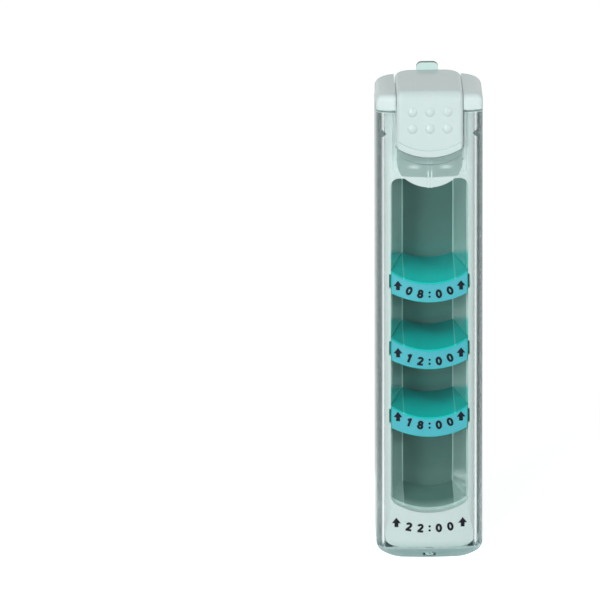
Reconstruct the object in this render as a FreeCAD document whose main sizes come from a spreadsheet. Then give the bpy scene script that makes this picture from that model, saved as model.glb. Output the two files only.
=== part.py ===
import FreeCAD, Part
import math
import os
from types import SimpleNamespace

from FreeCAD import Placement, Rotation, Vector
import Sketcher

# Medication dispenser, in millimetres: a clear upright case with a white drawer that slides
# up out of it. The origin is the centre of the foot, the front faces -Y and +Z is up.

# Driving dimensions

SIZES = {
    # Outer case
    "case_width": 31.4,
    "case_depth": 24.0,
    "rim_height": 137.3,
    "front_bow_radius": 62.0,
    "side_wall": 1.9,
    "front_wall": 1.5,
    "back_wall": 1.5,
    "case_floor": 2.2,
    "case_front_rounding": 2.4,
    "case_rear_rounding": 4.0,
    "foot_side_reach": 7.7,
    "foot_rise_radius": 12.0,
    "foot_corner_radius": 3.2,
    "cavity_corner_rounding": 1.4,
    "cavity_floor_rounding": 0.4,
    "gate_ring_inner": 1.2,
    "gate_ring_outer": 1.9,
    "gate_ring_depth": 0.4,
    "gate_set_back": 5.4,
    # Rear tab and guide nibs of the case
    "rear_tab_width": 6.5,
    "rear_tab_rise": 8.7,
    "rear_tab_rounding": 1.6,
    "nib_drop": 7.7,
    "nib_rise": 0.8,
    "nib_half_length": 1.5,
    "nib_front_depth": 6.0,
    "nib_thickness": 3.0,
    # Clearances
    "slide_gap_side": 0.5,
    "slide_gap_depth": 0.3,
    "foot_gap": 0.4,
    "rim_gap": 0.9,
    "latch_gap": 0.3,
    "latch_side_gap": 0.15,
    "notch_gap": 0.3,
    "lip_gap": 0.55,
    "pin_running_gap": 0.05,
    "fit_gap": 0.1,
    # Drawer
    "drawer_travel": 117.0,
    "carriage_wall": 1.6,
    "carriage_floor": 1.6,
    "carriage_top_wall": 2.0,
    "rail_rounding": 2.8,
    "carriage_rear_rounding": 1.6,
    "front_plate_thickness": 3.6,
    "groove_depth": 0.6,
    "recess_back_wall": 1.4,
    "recess_side_gap": 1.0,
    "recess_low_gap": 2.0,
    "window_rail": 2.0,
    "window_top_drop": 20.5,
    "window_top_rounding": 2.6,
    "window_low_rounding": 3.2,
    "smile_radius": 20.5,
    "smile_lower_radius": 25.5,
    "plate_height": 10.7,
    "facet_top_inset": 2.7,
    "facet_foot_inset": 0.4,
    "facet_foot_rise": 4.4,
    # Dividers and their label strips
    "second_compartment": 20.7,
    "third_compartment": 21.0,
    "lowest_compartment": 29.4,
    "band_height": 5.8,
    "divider_thickness": 1.2,
    "apron_thickness": 1.3,
    "label_thickness": 0.3,
    "label_inset": 0.25,
    "floor_rise": 2.3,
    "ear_width": 0.35,
    "ear_height": 4.2,
    "ear_set_back": 0.7,
    # Trough
    "trough_wall": 0.9,
    "trough_rear_half_width": 7.5,
    "trough_corner_reach": 0.4,
    "trough_top_rise": 2.7,
    "trough_rear_gap": 0.4,
    # Cap
    "cap_height": 4.5,
    "cap_floor": 1.2,
    "cap_bow_radius": 150.0,
    "cap_front_rounding": 1.5,
    "cap_rear_rounding": 7.0,
    "cap_top_rounding": 2.0,
    "peg_radius": 1.4,
    "peg_spacing": 16.0,
    "peg_offset": 4.0,
    # Latch
    "latch_width": 19.5,
    "latch_proud": 1.5,
    "spine_thickness": 1.8,
    "tongue_thickness": 1.6,
    "tongue_proud": 1.1,
    "tongue_height": 19.9,
    "bend_radius": 3.2,
    "latch_rear_wall": 3.4,
    "latch_edge_rounding": 1.3,
    "latch_rear_corner_rounding": 4.8,
    "lip_side_inset": 0.5,
    "lip_radius": 17.3,
    "lip_upper_radius": 16.8,
    "lip_band": 1.9,
    "lip_proud": 0.6,
    "bump_radius": 1.5,
    "bump_proud": 0.6,
    "bump_pitch": 5.15,
    "bump_row_drop": 6.2,
    "pivot_set_back": 4.6,
    "pin_radius": 0.8,
    "pin_seat_depth": 1.95,
    "barrel_radius": 1.9,
    "barrel_overlap": 0.3,
    "spring_thickness": 0.3,
    "spring_width": 5.0,
    "spring_half_height": 4.0,
    "spring_rise": 6.7,
    # Catch nose
    "nose_side_inset": 0.45,
    "nose_proud": 0.7,
    "nose_side_proud": 0.4,
    "nose_shoulder_drop": 1.55,
    "nose_turn_radius": 8.0,
    "nose_chin_inset": 1.3,
    "nose_chin_drop": 5.55,
    "nose_bottom_drop": 8.95,
    "nose_seat_gap": 0.05,
    "bulge_side_inset": 0.95,
    "bulge_proud": 1.5,
    "bulge_side_proud": 0.9,
    "bulge_top_drop": 1.9,
    "bulge_low_drop": 5.6,
    "bulge_rounding": 1.8,
    "rib_proud": 1.7,
    "rib_half_width": 0.8,
    "rib_half_gap": 0.15,
    "rib_top_drop": 3.95,
    "rib_foot_rise": 0.15,
    "rib_flare": 1.3,
    "rib_flare_drop": 1.3,
    "rib_neck_drop": 1.9,
}

doc = FreeCAD.newDocument("medication_dispenser")
sheet = doc.addObject("Spreadsheet::Sheet", "sizes")
for row, (name, value) in enumerate(SIZES.items(), start=1):
    sheet.set(f"A{row}", name)
    sheet.set(f"B{row}", str(value))
    sheet.setAlias(f"B{row}", name)
doc.recompute()


class Size:
    """A length worked out from the sheet: its value, and the expression a model property is bound to."""

    def __init__(self, value, text):
        self.value = value
        self.text = text

    def __add__(self, other):
        other = as_size(other)
        return Size(self.value + other.value, f"({self.text} + {other.text})")

    def __sub__(self, other):
        other = as_size(other)
        return Size(self.value - other.value, f"({self.text} - {other.text})")

    def __mul__(self, other):
        other = as_size(other)
        return Size(self.value * other.value, f"({self.text} * {other.text})")

    def __truediv__(self, other):
        other = as_size(other)
        return Size(self.value / other.value, f"({self.text} / {other.text})")

    def __neg__(self):
        return Size(-self.value, f"(0 - {self.text})")

    def __radd__(self, other):
        return as_size(other) + self

    def __rsub__(self, other):
        return as_size(other) - self

    def __rmul__(self, other):
        return as_size(other) * self


def as_size(number):
    return number if isinstance(number, Size) else Size(float(number), str(float(number)))


def root(size):
    return Size(math.sqrt(size.value), f"sqrt({size.text})")


def leg(hypotenuse, other_leg):
    return root(hypotenuse * hypotenuse - other_leg * other_leg)


d = SimpleNamespace(**{name: Size(value, f"sizes.{name}") for name, value in SIZES.items()})

# Sketches and features

# Each plane's own x, y and normal: front sketches look along -Y, so their normal faces the user.
PLANES = {
    "XY": Rotation(),
    "XZ": Rotation(Vector(1, 0, 0), 90),
    "YZ": Rotation(Vector(1, 1, 1), 120),
}
NORMAL_AXIS = {"XY": ("z", 1), "XZ": ("y", -1), "YZ": ("x", 1)}
REACH = Size(60.0, "60")  # further than the part is wide or deep, for cuts that go right through
MARGIN = Size(1.0, "1")  # how far a cut starts outside its material, or an addition inside it


def bind(thing, prop, size):
    thing.setExpression(prop, as_size(size).text)


class Bow:
    """An arc between two corners of an outline: side 1 bows to the right of the way round, -1 left."""

    def __init__(self, radius, side=1):
        self.radius = as_size(radius)
        self.side = side


def arc_between(start, end, bow):
    """The minor arc from one corner to the next, as the counter-clockwise arc that a sketch holds."""
    if bow.side < 0:
        start, end = end, start
    chord = end - start
    middle = (start + end) / 2
    left = Vector(-chord.y, chord.x, 0) / chord.Length
    centre = middle + left * math.sqrt(bow.radius.value**2 - (chord.Length / 2) ** 2)
    first = math.atan2(start.y - centre.y, start.x - centre.x)
    last = math.atan2(end.y - centre.y, end.x - centre.x)
    if last < first:
        last += 2 * math.pi
    circle = Part.Circle(centre, Vector(0, 0, 1), bow.radius.value)
    return Part.ArcOfCircle(circle, first, last)


def add_outline(sketch, outline):
    """Draws a closed outline of straight or bowed sides, its corners and radii bound to the sheet."""
    corners = []
    bows = {}
    for item in outline:
        if isinstance(item, Bow):
            bows[len(corners) - 1] = item
        else:
            corners.append((as_size(item[0]), as_size(item[1])))
    points = [Vector(x.value, y.value, 0) for x, y in corners]
    count = len(points)
    ends = []
    for index in range(count):
        start, end = points[index], points[(index + 1) % count]
        bow = bows.get(index)
        shape = arc_between(start, end, bow) if bow else Part.LineSegment(start, end)
        side = sketch.addGeometry(shape, False)
        # A side that bows to the left is stored the other way round
        turned = bow is not None and bow.side < 0
        ends.append((side, 2, 1) if turned else (side, 1, 2))
    for index in range(count):
        side, _, last = ends[index]
        following, first, _ = ends[(index + 1) % count]
        sketch.addConstraint(Sketcher.Constraint("Coincident", side, last, following, first))
    for index, (x, y) in enumerate(corners):
        side, first, _ = ends[index]
        for kind, size in (("DistanceX", x), ("DistanceY", y)):
            held = sketch.addConstraint(Sketcher.Constraint(kind, -1, 1, side, first, size.value))
            bind(sketch, f"Constraints[{held}]", size)
        if index in bows:
            radius = bows[index].radius
            held = sketch.addConstraint(Sketcher.Constraint("Radius", side, radius.value))
            bind(sketch, f"Constraints[{held}]", radius)


def add_circle(sketch, x, y, radius):
    x, y, radius = as_size(x), as_size(y), as_size(radius)
    circle = Part.Circle(Vector(x.value, y.value, 0), Vector(0, 0, 1), radius.value)
    ring = sketch.addGeometry(circle, False)
    for kind, size in (("DistanceX", x), ("DistanceY", y)):
        held = sketch.addConstraint(Sketcher.Constraint(kind, -1, 1, ring, 3, size.value))
        bind(sketch, f"Constraints[{held}]", size)
    held = sketch.addConstraint(Sketcher.Constraint("Radius", ring, radius.value))
    bind(sketch, f"Constraints[{held}]", radius)


def draw(name, plane, outlines=(), circles=(), offset=0, body=None):
    """A sketch on one of the three planes, moved along its normal by the offset."""
    if body is None:
        sketch = doc.addObject("Sketcher::SketchObject", name)
        sketch.Placement = Placement(Vector(), PLANES[plane])
        axis, sign = NORMAL_AXIS[plane]
        bind(sketch, f"Placement.Base.{axis}", as_size(offset) * sign)
    else:
        sketch = body.newObject("Sketcher::SketchObject", name)
        role = plane + "_Plane"
        support = next(o for o in body.Origin.OriginFeatures if o.Role == role)
        sketch.AttachmentSupport = (support, [""])
        sketch.MapMode = "FlatFace"
        bind(sketch, "AttachmentOffset.Base.z", offset)
    for outline in outlines:
        add_outline(sketch, outline)
    for x, y, radius in circles:
        add_circle(sketch, x, y, radius)
    return sketch


def new_body(label):
    body = doc.addObject("PartDesign::Body", label)
    body.Label = label
    return body


def pad(body, sketch, length, reverse=False, both_ways=False):
    feature = body.newObject("PartDesign::Pad", "pad_" + sketch.Name)
    feature.Profile = sketch
    feature.Reversed = reverse
    feature.SideType = "Symmetric" if both_ways else "One side"
    bind(feature, "Length", length)
    doc.recompute()
    return feature


def pocket(body, sketch, length, reverse=False, both_ways=False):
    """Cuts against the sketch's normal, or along it when reversed, and checks that something was cut."""
    before = body.Shape.Volume
    feature = body.newObject("PartDesign::Pocket", "cut_" + sketch.Name)
    feature.Profile = sketch
    feature.Reversed = reverse
    feature.SideType = "Symmetric" if both_ways else "One side"
    bind(feature, "Length", length)
    doc.recompute()
    if body.Shape.Volume > before - 1e-3:
        raise RuntimeError(f"{feature.Name} cuts nothing")
    return feature


def round_edges(body, name, radius, wanted):
    """Rounds the edges of the body so far whose middle the function picks."""
    tip = body.Tip
    names = []
    for index, edge in enumerate(tip.Shape.Edges, start=1):
        low, high = edge.ParameterRange
        if wanted(edge, edge.valueAt((low + high) / 2)):
            names.append(f"Edge{index}")
    if not names:
        raise RuntimeError(f"{name} finds no edge")
    feature = body.newObject("PartDesign::Fillet", name)
    feature.Base = (tip, names)
    bind(feature, "Radius", radius)
    doc.recompute()
    return feature


def extrude(sketch, forward, backward=0, direction=None):
    """A solid swept straight from a sketch, both ways if asked, along its normal or the given direction."""
    feature = doc.addObject("Part::Extrusion", "swept_" + sketch.Name)
    feature.Base = sketch
    feature.Solid = True
    if direction is None:
        feature.DirMode = "Normal"
    else:
        feature.DirMode = "Custom"
        for axis, size in zip("xyz", direction):
            bind(feature, f"Dir.{axis}", size)
    bind(feature, "LengthFwd", forward)
    bind(feature, "LengthRev", backward)
    doc.recompute()
    return feature


def common(name, *shapes):
    feature = doc.addObject("Part::MultiCommon", name)
    feature.Shapes = list(shapes)
    doc.recompute()
    return feature


def fuse(name, *shapes):
    feature = doc.addObject("Part::MultiFuse", name)
    feature.Shapes = list(shapes)
    feature.Refine = True
    doc.recompute()
    return feature


def near(value, target):
    return abs(value - target) < 0.01


def is_upright(edge):
    box = edge.BoundBox
    return box.ZLength > 1 and near(box.XLength, 0) and near(box.YLength, 0)


def is_level(edge, height):
    box = edge.BoundBox
    return near(box.ZMin, height) and near(box.ZMax, height)


def is_front_upright(edge, middle):
    return is_upright(edge) and middle.y < 0


def is_rear_upright(edge, middle):
    return is_upright(edge) and middle.y > 0


# Shared places

half_case = d.case_width / 2
case_rear = d.case_depth / 2
case_front = -case_rear
bow_centre = case_front + d.front_bow_radius  # the front's bow is drawn about this point of the Y axis
half_foot = half_case - d.foot_side_reach
half_cavity = half_case - d.side_wall
half_carriage = half_cavity - d.slide_gap_side
carriage_bow = d.front_bow_radius - d.front_wall - d.slide_gap_depth
carriage_rear = case_rear - d.back_wall - d.slide_gap_depth
carriage_low = d.case_floor + d.foot_gap
carriage_inside = half_carriage - d.carriage_wall
front_plate_inside = case_front + d.front_wall + d.slide_gap_depth + d.front_plate_thickness
nib_height = d.rim_height - d.nib_drop
half_window = half_carriage - d.window_rail
window_bottom = carriage_low + d.plate_height
window_top = d.rim_height - d.window_top_drop
lower_height = window_bottom + d.lowest_compartment
middle_height = lower_height + d.third_compartment
upper_height = middle_height + d.second_compartment
trough_top = window_top + d.trough_top_rise
cap_low = d.rim_height + d.rim_gap
cap_top = cap_low + d.cap_height
half_latch = d.latch_width / 2
latch_top = cap_top + d.latch_proud
lip_bottom = latch_top - d.tongue_height
tongue_front = case_front - d.tongue_proud
tongue_back = tongue_front + d.tongue_thickness
pivot_y = tongue_front + d.pivot_set_back
pivot_height = latch_top - d.spine_thickness + d.barrel_overlap - d.barrel_radius
pin_length = d.latch_width + 2 * (d.latch_side_gap + d.pin_seat_depth)
half_notch = half_latch + d.notch_gap
recess_floor = front_plate_inside - d.recess_back_wall
notch_bottom = lip_bottom - d.lip_gap
notch_radius = d.lip_radius + d.lip_gap
trough_front_half_width = carriage_inside - d.trough_wall
trough_rear = carriage_rear - d.trough_rear_gap
trough_inner_rear = trough_rear - d.trough_wall


def bow_y(radius, x):
    """Depth of a front surface of this bow radius at the distance x from the middle."""
    return bow_centre - leg(radius, x)


def smile_z(height, radius, x):
    """Height at the distance x from the middle of an upturned arc, whose lowest point is at the height."""
    return height + radius - leg(radius, x)


def bowed_plan(half_width, rear, radius):
    """Plan outline with straight sides and rear and a bowed front, from the rear left corner round."""
    front = bow_y(radius, half_width)
    return [(half_width, rear), (-half_width, rear), (-half_width, front), Bow(radius), (half_width, front)]


def smile(half_width, height, radius, step=0):
    """Left and right ends of an upturned arc, at a step above it."""
    z = smile_z(height, radius, half_width) + step
    return (-half_width, z), (half_width, z)


# Outer case


def foot_arcs(half_width, low, flat_half_width):
    """Where the foot's wide arc meets its corner arc, and the height at which that ends on the side."""
    wide, corner = d.foot_rise_radius, d.foot_corner_radius
    sine = (half_width - corner - flat_half_width) / (wide - corner)
    cosine = root(1 - sine * sine)
    return flat_half_width + wide * sine, low + wide - wide * cosine, low + wide - (wide - corner) * cosine


def trim_foot(body, name, half_width, low, flat_half_width):
    """Rounds the foot up to both sides: a wide arc from the flat part, then a corner arc."""
    wide, corner = d.foot_rise_radius, d.foot_corner_radius
    meet_x, meet_z, side_z = foot_arcs(half_width, low, flat_half_width)
    outside, below = half_width + MARGIN, low - MARGIN
    right = [
        (flat_half_width, low),
        Bow(wide),
        (meet_x, meet_z),
        Bow(corner),
        (half_width, side_z),
        (outside, side_z),
        (outside, below),
        (flat_half_width, below),
    ]
    left = [
        (-flat_half_width, low),
        (-flat_half_width, below),
        (-outside, below),
        (-outside, side_z),
        (-half_width, side_z),
        Bow(corner),
        (-meet_x, meet_z),
        Bow(wide),
    ]
    pocket(body, draw(name, "XZ", [left, right], body=body), REACH, both_ways=True)


def make_outer_case():
    body = new_body("outer_case")
    plan = bowed_plan(half_case, case_rear, d.front_bow_radius)
    pad(body, draw("case_plan", "XY", [plan], body=body), d.rim_height)
    round_edges(body, "case_front_edges", d.case_front_rounding, is_front_upright)
    round_edges(body, "case_rear_edges", d.case_rear_rounding, is_rear_upright)
    trim_foot(body, "case_foot", half_case, as_size(0), half_foot)
    cavity = bowed_plan(half_cavity, case_rear - d.back_wall, d.front_bow_radius - d.front_wall)
    sketch = draw("case_cavity", "XY", [cavity], offset=d.case_floor, body=body)
    pocket(body, sketch, d.rim_height, reverse=True)

    def is_cavity_corner(edge, middle):
        return is_upright(edge) and near(abs(middle.x), half_cavity.value)

    def is_cavity_floor(edge, middle):
        return is_level(edge, d.case_floor.value)

    round_edges(body, "cavity_corners", d.cavity_corner_rounding, is_cavity_corner)
    round_edges(body, "cavity_floor_edges", d.cavity_floor_rounding, is_cavity_floor)
    (left_x, side_z), (right_x, _) = smile(half_notch, notch_bottom, notch_radius)
    above = d.rim_height + MARGIN
    notch = [(left_x, side_z), Bow(notch_radius), (right_x, side_z), (right_x, above), (left_x, above)]
    outside = d.case_depth / 2 + MARGIN
    pocket(body, draw("latch_notch", "XZ", [notch], offset=outside, body=body), outside)
    half_tab = d.rear_tab_width / 2
    tab_top = d.rim_height + d.rear_tab_rise
    corner = d.rear_tab_rounding
    tab = [
        (-half_tab, d.rim_height - MARGIN),
        (half_tab, d.rim_height - MARGIN),
        (half_tab, tab_top - corner),
        Bow(corner),
        (half_tab - corner, tab_top),
        (corner - half_tab, tab_top),
        Bow(corner),
        (-half_tab, tab_top - corner),
    ]
    pad(body, draw("rear_tab", "XZ", [tab], offset=-case_rear, body=body), d.back_wall)
    root_x = half_cavity + d.side_wall / 2
    tip_x = half_cavity - d.nib_rise
    nibs = []
    for sign in (1, -1):
        low_end = (sign * root_x, nib_height - sign * d.nib_half_length)
        high_end = (sign * root_x, nib_height + sign * d.nib_half_length)
        nibs.append([low_end, high_end, (sign * tip_x, nib_height)])
    nib_sketch = draw("guide_nibs", "XZ", nibs, offset=d.nib_front_depth - d.nib_thickness, body=body)
    pad(body, nib_sketch, d.nib_thickness)
    gate_y = case_front + d.gate_set_back
    rings = [(0, gate_y, d.gate_ring_inner), (0, gate_y, d.gate_ring_outer)]
    pocket(body, draw("gate_ring", "XY", circles=rings, body=body), d.gate_ring_depth, reverse=True)
    return body


# Catch nose under the latch


def nose_strip(name, half_width, proud, side_proud, low, high):
    """A bowed slab seated a hair in front of the case, prouder in the middle than at its sides."""
    seat = d.front_bow_radius + d.nose_seat_gap
    side_y = bow_y(seat, half_width)
    side_front = side_y - side_proud
    sagitta = side_front - (case_front - proud)
    front_radius = (half_width * half_width + sagitta * sagitta) / (2 * sagitta)
    plan = [
        (half_width, side_y),
        Bow(seat, -1),
        (-half_width, side_y),
        (-half_width, side_front),
        Bow(front_radius),
        (half_width, side_front),
    ]
    return extrude(draw(name, "XY", [plan], offset=low), high - low)


def make_catch_nose():
    half = half_notch - d.nose_side_inset
    top = smile_z(notch_bottom, notch_radius, half)
    bottom = notch_bottom - d.nose_bottom_drop
    shoulder_z = notch_bottom - d.nose_shoulder_drop
    chin, chin_z = half - d.nose_chin_inset, notch_bottom - d.nose_chin_drop
    chin_sag = chin_z - bottom
    chin_radius = (chin * chin + chin_sag * chin_sag) / (2 * chin_sag)
    turn = d.nose_turn_radius
    face = [
        (-half, shoulder_z),
        Bow(turn),
        (-chin, chin_z),
        Bow(chin_radius),
        (chin, chin_z),
        Bow(turn),
        (half, shoulder_z),
        (half, top),
        Bow(notch_radius, -1),
        (-half, top),
    ]
    base = common(
        "nose_base",
        nose_strip("nose_base_plan", half, d.nose_proud, d.nose_side_proud, bottom, top),
        extrude(draw("nose_base_face", "XZ", [face]), REACH),
    )
    # The bulge follows the latch's lip above and ends level below
    bulge_half, corner = half - d.bulge_side_inset, d.bulge_rounding
    bulge_low = notch_bottom - d.bulge_low_drop
    bulge_top = smile_z(notch_bottom - d.bulge_top_drop, notch_radius, bulge_half)
    bulge_face = [
        (-bulge_half, bulge_low + corner),
        Bow(corner),
        (corner - bulge_half, bulge_low),
        (bulge_half - corner, bulge_low),
        Bow(corner),
        (bulge_half, bulge_low + corner),
        (bulge_half, bulge_top),
        Bow(notch_radius, -1),
        (-bulge_half, bulge_top),
    ]
    bulge = common(
        "nose_bulge",
        nose_strip("nose_bulge_plan", bulge_half, d.bulge_proud, d.bulge_side_proud, bulge_low, bulge_top),
        extrude(draw("nose_bulge_face", "XZ", [bulge_face]), REACH),
    )
    # Twin gate ribs down the middle, flared like an arrow at their top
    rib_low, rib_top = bottom + d.rib_foot_rise, notch_bottom - d.rib_top_drop
    ribs = []
    for sign in (1, -1):
        near_x, far_x = sign * d.rib_half_gap, sign * d.rib_half_width
        flare_x = sign * (d.rib_half_width + d.rib_flare)
        rib_foot = [(near_x, rib_low), (far_x, rib_low)]
        rib_head = [
            (far_x, rib_top - d.rib_neck_drop),
            (flare_x, rib_top - d.rib_flare_drop),
            (near_x, rib_top),
        ]
        ribs.append(rib_foot + rib_head)
    sunk = d.nose_proud / 2
    rib_sketch = draw("nose_ribs", "XZ", ribs, offset=sunk - case_front)
    return fuse("catch_nose", base, bulge, extrude(rib_sketch, d.rib_proud - sunk))


# Drawer carriage


def window_outline():
    half, top = half_window, window_top
    corner, low_corner = d.window_top_rounding, d.window_low_rounding
    # The low corners' arcs run inside the smile-shaped edge and end on it and on the window's sides
    run, reach = half - low_corner, d.smile_radius - low_corner
    fall = leg(reach, run)
    centre_z = window_bottom + d.smile_radius
    smile_x, smile_end_z = run * d.smile_radius / reach, centre_z - fall * d.smile_radius / reach
    side_z = centre_z - fall
    return [
        (-smile_x, smile_end_z),
        Bow(d.smile_radius),
        (smile_x, smile_end_z),
        Bow(low_corner),
        (half, side_z),
        (half, top - corner),
        Bow(corner),
        (half - corner, top),
        (corner - half, top),
        Bow(corner),
        (-half, top - corner),
        (-half, side_z),
        Bow(low_corner),
    ]


def make_carriage():
    body = new_body("carriage_frame")
    plan = bowed_plan(half_carriage, carriage_rear, carriage_bow)
    pad(body, draw("carriage_plan", "XY", [plan], offset=carriage_low, body=body), cap_low - carriage_low)
    round_edges(body, "rail_edges", d.rail_rounding, is_front_upright)
    round_edges(body, "carriage_rear_edges", d.carriage_rear_rounding, is_rear_upright)
    trim_foot(body, "carriage_foot", half_carriage, carriage_low, half_foot - d.foot_gap)
    inside = carriage_inside
    roof = cap_low - d.carriage_top_wall
    floor = carriage_low + d.carriage_floor + d.foot_corner_radius / 2
    shelf_low, shelf_top = trough_top, trough_top + d.carriage_wall
    trough_room = [(-inside, floor), (inside, floor), (inside, shelf_low), (-inside, shelf_low)]
    latch_room = [(-inside, shelf_top), (inside, shelf_top), (inside, roof), (-inside, roof)]
    rooms = draw("carriage_rooms", "XZ", [trough_room, latch_room], offset=-case_rear, body=body)
    pocket(body, rooms, case_rear - front_plate_inside, reverse=True)
    front = MARGIN - case_front
    through_plate = front + front_plate_inside + MARGIN
    pocket(body, draw("window", "XZ", [window_outline()], offset=front, body=body), through_plate)
    recess_half = half_latch + d.recess_side_gap
    recess_low = lip_bottom - d.recess_low_gap
    recess_high = cap_low + MARGIN
    recess = [
        (-recess_half, recess_low),
        (recess_half, recess_low),
        (recess_half, recess_high),
        (-recess_half, recess_high),
    ]
    recess_sketch = draw("latch_recess", "XZ", [recess], offset=front, body=body)
    pocket(body, recess_sketch, front + recess_floor)
    groove_floor = half_carriage - d.groove_depth
    groove_front = -(d.nib_front_depth + d.slide_gap_side)
    groove_rear = -(d.nib_front_depth - d.nib_thickness - d.slide_gap_side)
    groove_low = nib_height - d.nib_half_length - d.slide_gap_depth - d.drawer_travel
    outside = half_carriage + MARGIN
    grooves = []
    for sign in (1, -1):
        near_x, far_x = sign * groove_floor, sign * outside
        front_side = [(near_x, groove_front), (far_x, groove_front)]
        rear_side = [(far_x, groove_rear), (near_x, groove_rear)]
        grooves.append(front_side + rear_side)
    pocket(body, draw("nib_grooves", "XY", grooves, offset=groove_low, body=body), cap_low, reverse=True)
    slots = []
    for height in (upper_height, middle_height, lower_height):
        ear_low, ear_high = ear_range(height)
        low, high = ear_low - d.fit_gap, ear_high + d.fit_gap
        for sign in (1, -1):
            near_x = sign * (half_window - MARGIN)
            far_x = sign * (half_window + d.ear_width + d.fit_gap)
            slots.append([(near_x, low), (far_x, low), (far_x, high), (near_x, high)])
    pocket(body, draw("ear_slots", "XZ", slots, offset=front, body=body), through_plate)
    half_spacing = d.peg_spacing / 2
    pegs = [(sign * half_spacing, d.peg_offset, d.peg_radius + d.fit_gap) for sign in (1, -1)]
    peg_holes = draw("peg_holes", "XY", circles=pegs, offset=cap_low, body=body)
    pocket(body, peg_holes, d.carriage_top_wall + MARGIN)
    # The bottom plate keeps its full front out to slanted creases beside the rounded rails
    plate_plan = draw("plate_plan", "XY", [bowed_plan(half_carriage, front_plate_inside, carriage_bow)])
    (left_x, side_z), (right_x, _) = smile(half_carriage - d.facet_top_inset, window_bottom, d.smile_radius)
    foot = half_carriage - d.facet_foot_inset
    foot_z = carriage_low + d.facet_foot_rise
    below = carriage_low - MARGIN
    facet = [
        (-foot, below),
        (foot, below),
        (foot, foot_z),
        (right_x, side_z),
        Bow(d.smile_radius, -1),
        (left_x, side_z),
        (-foot, foot_z),
    ]
    flat = half_foot - d.foot_gap
    meet_x, meet_z, corner_z = foot_arcs(half_carriage, carriage_low, flat)
    foot_face = [
        (-half_carriage, corner_z),
        Bow(d.foot_corner_radius),
        (-meet_x, meet_z),
        Bow(d.foot_rise_radius),
        (-flat, carriage_low),
        (flat, carriage_low),
        Bow(d.foot_rise_radius),
        (meet_x, meet_z),
        Bow(d.foot_corner_radius),
        (half_carriage, corner_z),
        (half_carriage, side_z + MARGIN),
        (-half_carriage, side_z + MARGIN),
    ]
    plate = common(
        "plate_facet",
        extrude(plate_plan, side_z + MARGIN),
        extrude(draw("facet_face", "XZ", [facet]), case_rear),
        extrude(draw("facet_foot", "XZ", [foot_face]), case_rear),
    )
    return fuse("carriage", body, plate)


# Trough, dividers and label strips


def ear_range(height):
    """Lowest and highest point of a divider's ears, beside the middle of its band's ends."""
    side = smile_z(height, d.smile_radius, half_window) - d.band_height / 2
    return side - d.ear_height / 2, side + d.ear_height / 2


def trough_half_width_at(y, gap):
    """Half width between the trough's side walls at a depth, less a gap. The walls close in to the rear."""
    run = (y - front_plate_inside) / (trough_inner_rear - front_plate_inside)
    return trough_front_half_width - gap - (trough_front_half_width - d.trough_rear_half_width) * run


def rounded_corner(corner_half, corner_y, front_half, front_y):
    """Ends and radius of the arc at the trough's rear right corner, between its rear and its side wall."""
    reach = d.trough_corner_reach
    spread, run = front_half - corner_half, corner_y - front_y
    wall = root(spread * spread + run * run)
    lean = spread / wall
    radius = reach * root((1 + lean) / (1 - lean))
    rear_end = (corner_half - reach, corner_y)
    side_end = (corner_half + reach * lean, corner_y - reach * run / wall)
    return rear_end, side_end, radius


def scoop(name, height, half_width, thickness, plan):
    """A scooped floor: an upturned arc strip that climbs to the rear, trimmed to the plan."""
    (left_x, side_z), (right_x, _) = smile(half_width, height, d.smile_radius)
    strip = [
        (left_x, side_z - thickness),
        Bow(d.smile_radius),
        (right_x, side_z - thickness),
        (right_x, side_z),
        Bow(d.smile_radius, -1),
        (left_x, side_z),
    ]
    run = trough_inner_rear - case_front
    slant = root(run * run + d.floor_rise * d.floor_rise)
    direction = (0, run / slant, d.floor_rise / slant)
    strip_sketch = draw(name + "_strip", "XZ", [strip], offset=case_rear)
    swept = extrude(strip_sketch, slant, direction=direction)
    deep = d.smile_radius + d.floor_rise
    trim = extrude(draw(name + "_plan", "XY", [plan], offset=height - deep), 2 * deep)
    return common(name, swept, trim)


def make_trough():
    outer_rear = d.trough_rear_half_width + d.trough_wall
    outer_front = trough_front_half_width + d.trough_wall
    inner_front, inner_rear = trough_front_half_width, d.trough_rear_half_width
    front = front_plate_inside
    rear_end, side_end, radius = rounded_corner(inner_rear, trough_inner_rear, inner_front, front)
    (rear_x, rear_y), (side_x, side_y) = rear_end, side_end
    plan = [
        (outer_rear, trough_rear),
        (-outer_rear, trough_rear),
        (-outer_front, front),
        (-inner_front, front),
        (-side_x, side_y),
        Bow(radius, -1),
        (-rear_x, rear_y),
        (rear_x, rear_y),
        Bow(radius, -1),
        (side_x, side_y),
        (inner_front, front),
        (outer_front, front),
    ]
    low = window_bottom - 2 * d.divider_thickness
    walls = extrude(draw("trough_walls", "XY", [plan], offset=low), trough_top - low)
    inside = [
        (inner_rear, trough_inner_rear),
        (-inner_rear, trough_inner_rear),
        (-inner_front, front),
        (inner_front, front),
    ]
    floor = scoop("trough_floor", window_bottom, outer_front, d.divider_thickness, inside)
    return fuse("compartment_trough", walls, floor)


def band_outline(height, half_width, top_step, bottom_step):
    """The smile-shaped band below a divider's front edge, its upper and lower arcs moved by the steps."""
    (left_x, top_z), (right_x, _) = smile(half_width, height, d.smile_radius, top_step)
    (_, low_z), _ = smile(half_width, height - d.band_height, d.smile_lower_radius, bottom_step)
    return [
        (left_x, low_z),
        Bow(d.smile_lower_radius),
        (right_x, low_z),
        (right_x, top_z),
        Bow(d.smile_radius, -1),
        (left_x, top_z),
    ]


def bowed_strip(half_width, outer_radius, thickness):
    """Plan of a strip that follows the front's bow."""
    inner_radius = outer_radius - thickness
    front, back = bow_y(outer_radius, half_width), bow_y(inner_radius, half_width)
    return [
        (half_width, back),
        Bow(inner_radius, -1),
        (-half_width, back),
        (-half_width, front),
        Bow(outer_radius),
        (half_width, front),
    ]


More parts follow.
